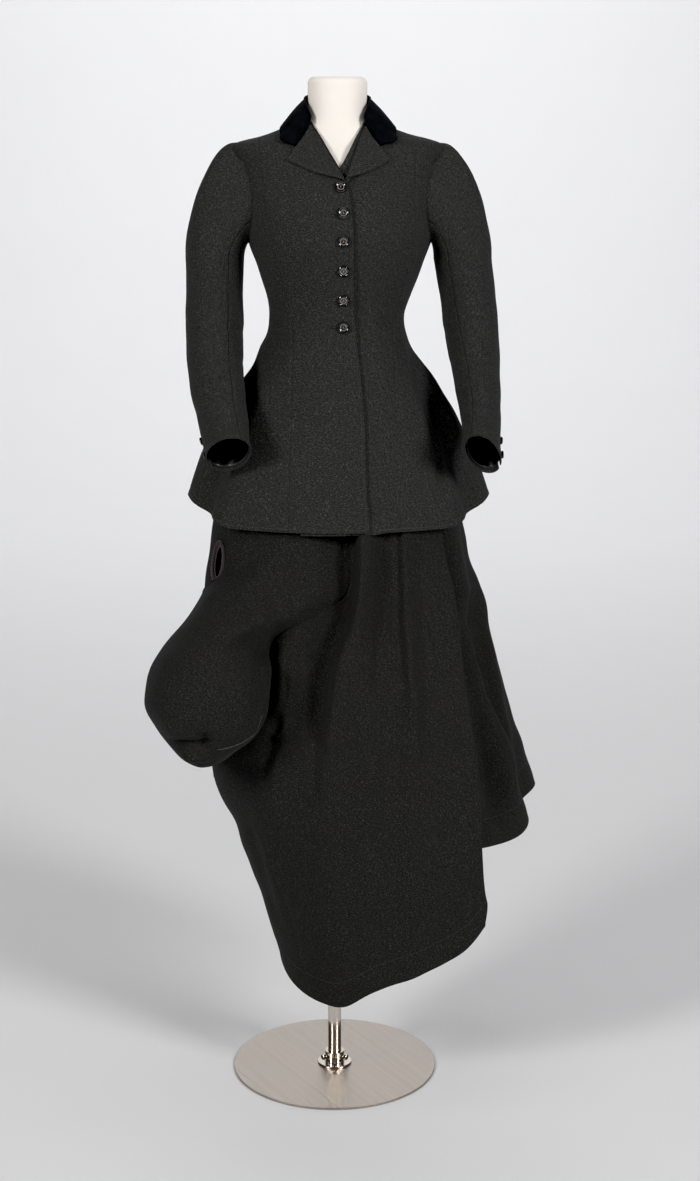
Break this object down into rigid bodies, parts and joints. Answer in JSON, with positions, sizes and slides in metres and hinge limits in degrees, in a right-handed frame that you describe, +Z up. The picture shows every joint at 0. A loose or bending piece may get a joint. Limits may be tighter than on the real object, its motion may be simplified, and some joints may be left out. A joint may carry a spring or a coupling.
{
  "type": "sidesaddle riding habit on a limbless dress form and its pole stand",
  "caption": "Fitted wool jacket and apron skirt for riding sidesaddle, the skirt shaped over the right knee, worn on a limbless dress form with a pole stand.",
  "frame": {"origin": "on the pole's axis, at the underside of the base disc", "axes": "+Z up along the pole; -Y is the front of the habit; +X is the wearer's left"},
  "size_m": [0.6341, 0.4908, 1.66],
  "materials": {
    "jacket_wool": "dull black and charcoal wool twill",
    "skirt_wool": "dull black and charcoal wool twill",
    "collar_velvet": "blue-black velvet pile",
    "lining_satin": "black satin",
    "button_black": "polished black",
    "slit_binding": "stitched purple-brown cord",
    "form_cover": "smooth cream jersey",
    "base_steel": "straight brushed grain",
    "pole_steel": "polished"
  },
  "bodies": {
    "root": {"base_disc": "base_steel", "button_1": "button_black", "button_2": "button_black", "button_3": "button_black", "button_4": "button_black", "button_5": "button_black", "button_6": "button_black", "collar": "collar_velvet", "collar_stand": "jacket_wool", "cuff_button_left_1": "button_black", "cuff_button_left_2": "button_black", "cuff_button_right_1": "button_black", "cuff_button_right_2": "button_black", "cuff_lining_left": "lining_satin", "cuff_lining_right": "lining_satin", "dress_form": "form_cover", "jacket_back_left": "jacket_wool", "jacket_back_right": "jacket_wool", "jacket_front_left": "jacket_wool", "jacket_front_right": "jacket_wool", "jacket_side_back_left": "jacket_wool", "jacket_side_back_right": "jacket_wool", "jacket_side_front_left": "jacket_wool", "jacket_side_front_right": "jacket_wool", "lapel_left": "jacket_wool", "lapel_right": "jacket_wool", "pole": "pole_steel", "pole_flange": "pole_steel", "skirt_back_left": "skirt_wool", "skirt_back_right": "skirt_wool", "skirt_front": "skirt_wool", "skirt_knee_piece": "skirt_wool", "skirt_side_right": "skirt_wool", "slit_binding": "slit_binding", "stand_screw_1": "pole_steel", "stand_screw_2": "pole_steel", "stand_screw_3": "pole_steel", "under_sleeve_left": "jacket_wool", "under_sleeve_right": "jacket_wool", "upper_sleeve_left": "jacket_wool", "upper_sleeve_right": "jacket_wool"}
  },
  "joints": []
}
